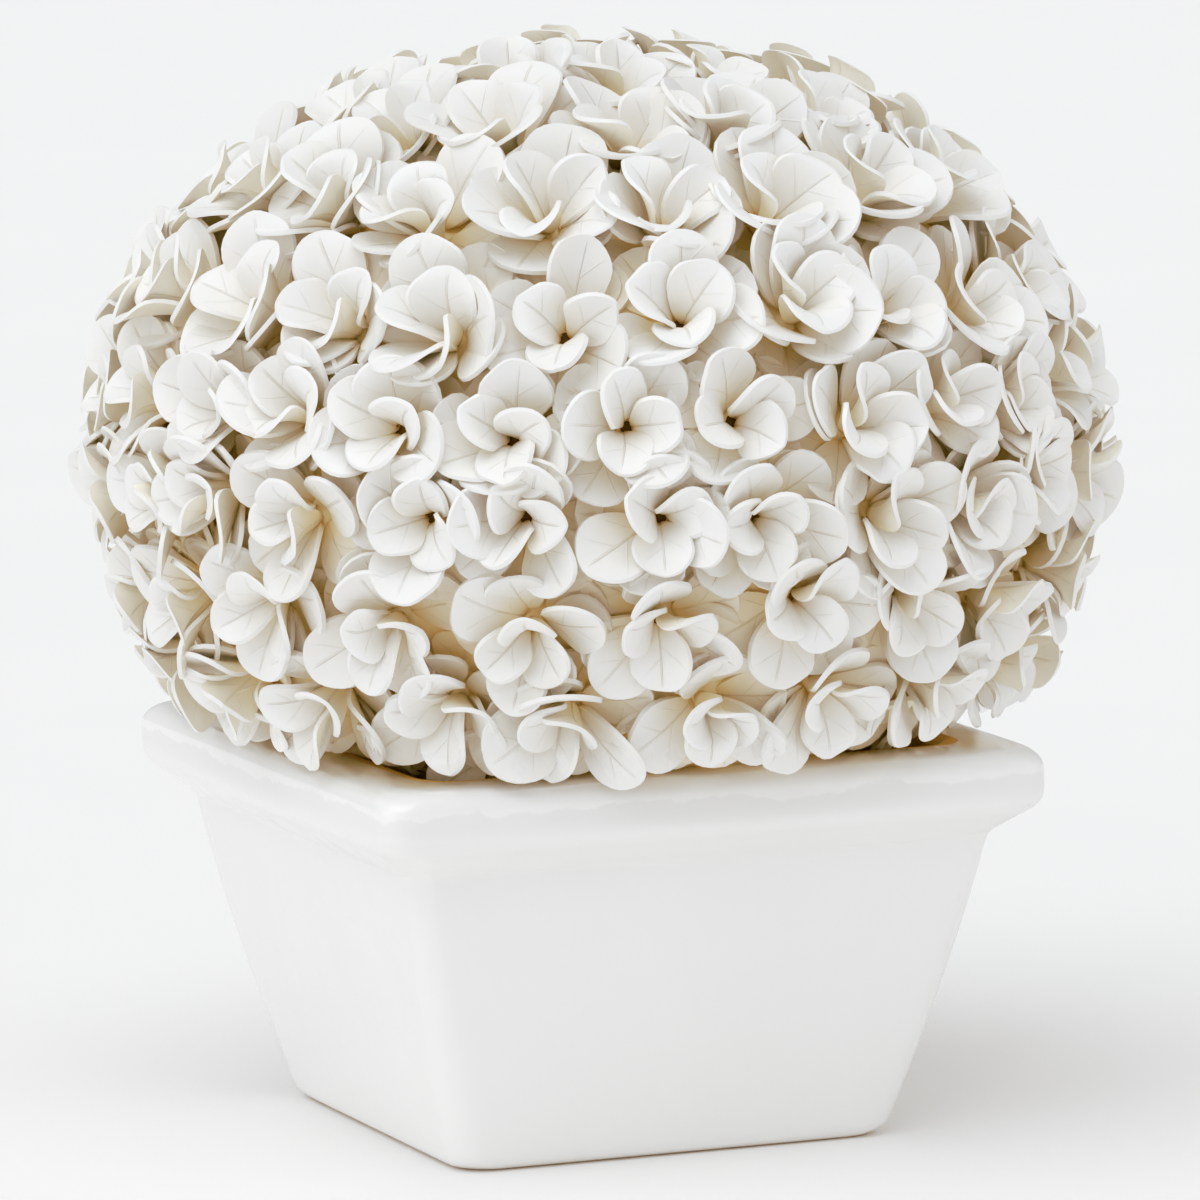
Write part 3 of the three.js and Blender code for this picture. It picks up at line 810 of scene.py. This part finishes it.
def neighbours_of(own):
    """The rosettes that share a border with this one. The skirt hangs in front of the lowest row."""
    return [other for other in seats
            if other is not own and (other["bud"] - own["bud"]).length < NEIGHBOUR_REACH
            and not (own["row"] == SKIRT_ROW and other["row"] > SKIRT_ROW)]


for own in seats:
    own["near"] = neighbours_of(own)
    if own["row"] == SKIRT_ROW:
        own["turn"] = -math.pi / 2
print("a rosette's neighbours:", len(seats[60]["near"]))

# %% [markdown]
# ## The leaves of a rosette
#
# Each leaf's numbers come from its kind, its row's size and its own wander. A table holds how
# much each may play, and its salt. A leaf never lies flatter than the ball, and a low one that
# would run into the planter is swung up about its foot until it rests on the rim.

# %% Leaves of a rosette
PLAY = dict(size=(0.06, 20), opening=(6, 19), length=(0.08, 7), width=(0.09, 11), turn=(0.2, 8),
            rise=(0.6, 10), curl=(0.55, 12), cup=(0.4, 13), lean=(0.45, 14), twist=(0.3, 15),
            ripple=(1, 16), ripple_phase=(math.pi, 17))
TILT_SALT, CODES, RIPPLE, LEAF_MIDDLE = 9, 13, 0.5, 6
UPRIGHT, OPENING_PER_MM, FLATTEST = 22, 4, 84
GAP_STEPS, GAP_UP, GAP_ROOM = 24, 8, 14
LEAF_PLAY, HANGING_Z, OVERHANG, SWING, MOST_SWINGS = 0.3, 80, 4, 5, 12


def play(code, name):
    """How much the named number of a leaf or a rosette differs from the usual."""
    amount, salt = PLAY[name]
    return amount * wander(code, salt)


def code_of(own, number):
    """The code that a leaf's wander starts from. number counts the rosette's leaves."""
    return own["index"] * CODES + number


def gap_turns(own):
    """Where a rosette's own space reaches furthest, because three rosettes leave a gap there."""
    turns = [2 * math.pi * step / GAP_STEPS for step in range(GAP_STEPS)]
    rooms = [room_for(own, turn, GAP_UP) for turn in turns]
    return [turn for step, turn in enumerate(turns) if rooms[step] > GAP_ROOM
            and rooms[step] >= max(rooms[step - 1], rooms[(step + 1) % GAP_STEPS])]


def flattest_tilt(own, turn):
    """The tilt at which a leaf lies on the ball, which the rosette's axis may lean away from."""
    side = side_of(own, turn)
    return FLATTEST * DEGREE + math.atan2(side.dot(own["normal"]), own["axis"].dot(own["normal"]))


def leaf_of(own, kind, place, number):
    """The numbers that bend one leaf of the rosette."""
    code = code_of(own, number)
    size = (1 + play(own["index"], "size")) * ROW_SIZES[own["row"]]
    open_by = play(own["index"], "opening") + kind["play"] * wander(code, TILT_SALT)
    length = kind["length"] * size * (1 + play(code, "length"))
    turn = 2 * math.pi * (place + kind["offset"]) / kind["count"] + play(code, "turn")
    free = room_for(own, turn, kind["rise"] + LEAF_MIDDLE) + kind["overlap"] - kind["reach"]
    wanted = (kind["tilt"] + open_by) * DEGREE
    spare = max(0.0, free - length * math.sin(wanted))
    wanted += min(kind["opening"], OPENING_PER_MM * spare) * DEGREE
    if kind is GAP:
        length = min(length, free)
    full = min(wanted, flattest_tilt(own, turn), math.asin(max(0.0, min(1.0, free / length))))
    leaf = {bend: kind[bend] * (1 + play(code, bend)) for bend in ("curl", "cup", "lean")}
    leaf["width"] = kind["width"] * size * (1 + play(code, "width"))
    leaf["ripple"] = RIPPLE * (1 + play(code, "ripple"))
    leaf["outline"] = cut_by_hand(kind["blank"], code)
    return leaf | {"turn": turn, "reach": kind["reach"], "rise": kind["rise"] + play(code, "rise"),
                   "length": length, "tilt": max(UPRIGHT * DEGREE, full), "twist": play(code, "twist"),
                   "ripple_phase": play(code, "ripple_phase"), "blank": kind["blank"]}


def placed(own, leaf):
    """One leaf's points in the shared frame, in mm."""
    bent = bent_leaf(leaf)
    out = side_of(own, leaf["turn"])
    aside = own["axis"].cross(out)
    turned = np.array([out[:], aside[:], own["axis"][:]])
    return np.array(own["seat"][:]) + bent @ turned


def in_planter(points):
    """True if a leaf's points are in the planter's rim, or hang below it outside or inside."""
    wide = np.abs(points[:, :2]).max(1)
    lowest = np.where(wide < MOUTH_HALF - LEAF_PLAY, HANGING_Z, RIM_TOP_Z + LEAF_PLAY)
    lowest = np.where(wide > RIM_HALF + LEAF_PLAY, RIM_TOP_Z - OVERHANG, lowest)
    return (points[:, 2] < lowest).any()


def clear_of_rim(own, leaf):
    """Swings a low leaf up about its foot until it rests on the rim, or gives None where it can't."""
    points = placed(own, leaf)
    if not in_planter(points):
        return points
    foot = points[leaf["blank"]["foot"]].mean(0)
    way = Vector(points[leaf["blank"]["tip"]].mean(0) - foot)
    for step in range(1, MOST_SWINGS + 1):
        swing = np.array(Matrix.Rotation(step * SWING * DEGREE, 3, way.cross(UP)))
        swung = foot + (points - foot) @ swing.T
        if not in_planter(swung):
            return swung
    return None


print("gaps round one rosette:", len(gap_turns(seats[60])))

# %% [markdown]
# ## Holding the outline
#
# The tips of the real leaves end near one ball with high shoulders and a flat top, because the
# maker turned the piece and pressed back what stood out. Points that would pass it are eased
# back, and each leaf has its own limit, which keeps the outline a little uneven.

# %% Outline of the crown
TIP_HEIGHT, TIP_PLAY, TIP_SALT, EASED = 20.4, 3.3, 24, 0.7
SHOULDER_RISE, TOP_SINK, TOP_POWER = 2.6, 4.5, 12


def height_off_ball(points):
    """How far outside the ball's surface each point is, in mm, and its direction from the middle."""
    away = points - np.array((BALL_X, BALL_Y, BALL_Z))
    x, y, z = away.T
    depth = np.where(z < 0, BALL_DROP, BALL_RISE)
    share = np.sqrt((x / BALL_HALF) ** 2 + (y / BALL_HALF) ** 2 + (z / depth) ** 2)
    far = np.linalg.norm(away, axis=1)
    return far * (1 - 1 / share), away / far[:, None]


def eased_back(points, code):
    """Eases a leaf back to its own height off the ball, so that the outline is a little uneven."""
    height, way = height_off_ball(points)
    up = np.maximum(0, way[:, 2])
    limit = TIP_HEIGHT + TIP_PLAY * wander(code, TIP_SALT) + SHOULDER_RISE * up - TOP_SINK * up ** TOP_POWER
    over = np.maximum(0, height - limit)
    return points - way * (over * EASED)[:, None]


print("leaf tips end near", TIP_HEIGHT, "mm off the ball, give or take", TIP_PLAY)

# %% [markdown]
# ## Building a ring of leaves
#
# One ring is one joined mesh: the bent points of all its leaves, one after the other, with the
# blank's faces repeated. Each leaf also gets two flat maps. The first lies the same way on all
# leaves and carries the veins. The second gives every leaf squares of its own. The lowest ring
# hangs under the skirt and shows only its edges, so its rosettes have no inner leaves.

# %% Ring of leaves
OWN_MAP = "OFBake"
CELL_FILL, EDGE_FILL = 0.84, 0.97
DIPPED_HEIGHT, DIPPED_LEAF, DIP_SALT, UNDIPPED = 7, 3.2, 18, -0.35
DIPPED_SLOT = 2
OUTLINE_CREASE, RING_LEVELS, SMOOTH_TRIANGLES = 0.85, 1, 8


def leaf_maps(blank, number, side):
    """Corner places of one leaf in both maps. side is the count of squares along the second map."""
    corners = blank["points"][blank["faces"]]
    flat = corners[..., :2]
    outline = (corners[..., 2] < 0.5) & (blank["kind"] == RIM)[:, None]
    squares = flat * np.where(outline, EDGE_FILL, CELL_FILL)[..., None]
    cell = 2 * number + (blank["kind"] == UNDER)
    corner = np.stack([cell % side, cell // side], -1)[:, None, :]
    return (flat / 2 + 0.5).reshape(-1, 2), ((corner + squares / 2 + 0.5) / side).reshape(-1, 2)


def leaf_slots(blank, points, code):
    """0 is the leaf's face, 1 its back, which takes the shaded copy of the finish, and 2 a tip that was
    dipped in the rim's glaze.
    """
    slots = (blank["kind"] == UNDER).astype(int)
    if points[:, 2].min() < RIM_TOP_Z + DIPPED_LEAF and wander(code, DIP_SALT) > UNDIPPED:
        slots[points[blank["faces"], 2].mean(1) < RIM_TOP_Z + DIPPED_HEIGHT] = DIPPED_SLOT
    return slots


def keep_edges_crisp(mesh, outline):
    """Creases both outlines of each leaf and marks them sharp, as clay is where a cutter went."""
    ends = np.empty(len(mesh.edges) * 2, dtype=int)
    mesh.edges.foreach_get("vertices", ends)
    first, second = outline[ends.reshape(-1, 2)].T
    cut = (first > 0) & (first == second)
    mesh.attributes.new("crease_edge", "FLOAT", "EDGE").data.foreach_set("value", cut * OUTLINE_CREASE)
    mesh.attributes.new("sharp_edge", "BOOLEAN", "EDGE").data.foreach_set("value", cut)


def leaves_of_row(row):
    """The blank, the points in mm and the code number of each leaf that the row has room for."""
    kinds = (OUTER, LOW) if row > SKIRT_ROW else (INNER, OUTER, LOW)
    wanted = [(kind, place) for kind in kinds for place in range(kind["count"])]
    for own in (seat for seat in seats if seat["row"] == row):
        gaps = [(GAP, turn / 2 / math.pi) for turn in gap_turns(own)]
        for number, (kind, place) in enumerate(wanted + gaps):
            points = clear_of_rim(own, leaf_of(own, kind, place, number))
            if points is not None:
                code = code_of(own, number)
                yield kind["blank"], eased_back(points, code), code


def ring_mesh(name, leaves):
    """One joined mesh of the leaves, with their maps, finishes and height off the ball."""
    side = math.ceil(math.sqrt(2 * len(leaves)))
    starts = np.cumsum([0] + [len(points) for _, points, _ in leaves])
    points = np.concatenate([points for _, points, _ in leaves])
    faces = np.concatenate([blank["faces"] + start for (blank, _, _), start in zip(leaves, starts)])
    outline = np.concatenate([blank["edge"] * (1 + blank["points"][:, 2]) for blank, _, _ in leaves])
    mesh = bpy.data.meshes.new(name)
    mesh.from_pydata((points * MM).tolist(), [], faces.tolist())
    maps = [leaf_maps(blank, number, side) for number, (blank, _, _) in enumerate(leaves)]
    for layer, places in zip((LEAF_MAP, OWN_MAP), zip(*maps)):
        mesh.uv_layers.new(name=layer).data.foreach_set("uv", np.concatenate(places).ravel())
    for material in (leaf_clay, shaded_back_clay, dipped_clay):
        mesh.materials.append(material)
    mesh.polygons.foreach_set("material_index", np.concatenate([leaf_slots(*leaf) for leaf in leaves]))
    height = height_off_ball(points)[0] * MM
    mesh.attributes.new(HEIGHT_NAME, "FLOAT", "POINT").data.foreach_set("value", height)
    mesh.shade_smooth()
    keep_edges_crisp(mesh, outline)
    mesh.update()
    return mesh


def make_ring(row):
    """One ring of leaves, which takes the place of the CAD's row of leaves."""
    leaves = list(leaves_of_row(row))
    mesh = ring_mesh(f"leaves_ring_{row + 1:02d}", leaves)
    ring = shown_piece(mesh.name, mesh, RING_LEVELS)
    node = f"leaf_row_{row + 1:02d}"
    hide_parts(node)
    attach(ring, "root")
    triangles = len(mesh.polygons) * SMOOTH_TRIANGLES
    print(mesh.name, len(leaves), "leaves,", triangles, "triangles when smooth")


for row in range(len(ROWS)):
    make_ring(row)

# %% [markdown]
# ## The heart of a rosette
#
# The feet of the leaves are pinched round a short stalk, which is pressed into the ball. In the
# middle the tool left a small hole, which shows as a dark dot: it is painted nearly black, as
# painted shade, and the stalk is painted warm tan, as painted shade at the heart of the rosette.
# The stalk is a cone whose top face is inset and pushed down.

# %% Rosette hearts
HEART_FOOT, HEART_TOP, HEART_HEIGHT, HEART_ROOT, HEART_SIDES = 4.2, 1.5, 7.2, 2, 8
HOLE_WALL, HOLE_DEPTH, HOLE_SLOT = 0.3, 1.4, 1


def make_hearts():
    """The stalks of all the rosettes as one piece."""
    bm = bmesh.new()
    for own in seats:
        made = bmesh.ops.create_cone(bm, cap_ends=True, segments=HEART_SIDES, radius1=HEART_FOOT,
                                     radius2=HEART_TOP, depth=HEART_HEIGHT + HEART_ROOT)["verts"]
        faces = {face for vert in made for face in vert.link_faces}
        top = max(faces, key=lambda face: face.calc_center_median().z)
        bmesh.ops.inset_individual(bm, faces=[top], thickness=HOLE_WALL)
        bmesh.ops.translate(bm, vec=(0, 0, -HOLE_DEPTH), verts=top.verts)
        for face in {face for edge in top.edges for face in edge.link_faces}:
            face.material_index = HOLE_SLOT
        stand = Matrix((own["east"], own["north"], own["axis"])).transposed().to_4x4()
        stand.translation = own["seat"] + own["axis"] * (HEART_HEIGHT - HEART_ROOT) / 2
        bmesh.ops.transform(bm, matrix=stand, verts=list(set(made) | set(top.verts)))
    return finish_piece(bm, "rosette_hearts", [shaded_stalk_clay, hole_shade])


hearts = make_hearts()
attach(hearts, "root")

# %% [markdown]
# ## Floor and light
#
# White porcelain is photographed in a light tent: soft light comes from all around, and a wide
# light above it does most of the work, with weaker ones at both sides. A pale floor throws some
# light back. A white world gives the tent. Wide sun lamps give the direction, because their
# light is as strong on the far floor as on the object, so the floor stays even. A narrow one
# puts sparks on the glaze.

# %% Floor and lamps
FLOOR_SIDE, FLOOR_GRAIN, FLOOR_ROUGHNESS = 12, 8, (0.75, 0.85)
FLOOR_WHITE = (0.98, 0.965, 0.95, 1)
TENT_STRENGTH = 0.48
DAYLIGHT = (0.965, 0.983, 1.0)
# Each lamp's place in metres, its strength and how wide it looks, in degrees
LAMPS = {"overhead_light": ((-0.4, -0.3, 1.5), 1.3, 60),
         "left_light": ((-1.9, -0.4, 0.7), 0.52, 50),
         "right_light": ((1.6, -1.0, 0.7), 0.27, 50),
         "spark_light": ((-1.1, -1.7, 1.3), 0.07, 3)}


def make_floor():
    """A wide sheet of pale paper."""
    bm = bmesh.new()
    bmesh.ops.create_grid(bm, x_segments=1, y_segments=1, size=FLOOR_SIDE / 2 / MM)
    material, tree, shader = new_material("floor_paper")
    shader.inputs["Base Color"].default_value = FLOOR_WHITE
    drifting_roughness(tree, shader, grain(tree, FLOOR_GRAIN), *FLOOR_ROUGHNESS)
    floor = finish_piece(bm, "floor", [material])


def distant_light(name, place, strength, spread):
    """Light that falls on the ball from the side of place."""
    lamp = bpy.data.lights.new(name, "SUN")
    lamp.energy = strength
    lamp.angle = spread * DEGREE
    lamp.color = DAYLIGHT
    holder = bpy.data.objects.new(name, lamp)
    holder.location = place
    toward_ball = Vector((0, 0, BALL_Z * MM)) - Vector(place)
    holder.rotation_euler = toward_ball.to_track_quat("-Z", "Y").to_euler()
    show(holder)


def light_tent():
    """A white world, which gives the soft light from all around."""
    world = bpy.data.worlds.new("light_tent")
    world.use_nodes = True
    background = world.node_tree.nodes["Background"]
    background.inputs["Color"].default_value = DAYLIGHT + (1,)
    background.inputs["Strength"].default_value = TENT_STRENGTH
    bpy.context.scene.world = world


make_floor()
for name, lamp in LAMPS.items():
    distant_light(name, *lamp)
light_tent()
print("lamps:", ", ".join(LAMPS))

# %% [markdown]
# ## Developing the picture
#
# White porcelain on white paper is developed softly: the shade is lifted, and it keeps the cream
# of the clay. A gamma above 1 lifts the shade. Two curves, one for red and one for blue, warm
# the middle and dark tones and leave the whites as they are.

# %% Picture tone
SHADE_LIFT = 1.22
RED_CURVE = ((0.068, 0.088), (0.2, 0.262), (0.347, 0.383), (0.55, 0.555))
BLUE_CURVE = ((0.029, 0.011), (0.1, 0.069), (0.245, 0.203), (0.397, 0.372), (0.56, 0.555))


def develop():
    """Sets the gamma and both curves of the view."""
    settings = bpy.context.scene.view_settings
    settings.view_transform = "Standard"
    settings.gamma = SHADE_LIFT
    settings.use_curve_mapping = True
    red, _, blue, _ = settings.curve_mapping.curves
    for curve, points in ((red, RED_CURVE), (blue, BLUE_CURVE)):
        for tone, developed in points:
            curve.points.new(tone, developed)
    settings.curve_mapping.update()


develop()
print("shade is lifted by a gamma of", SHADE_LIFT)
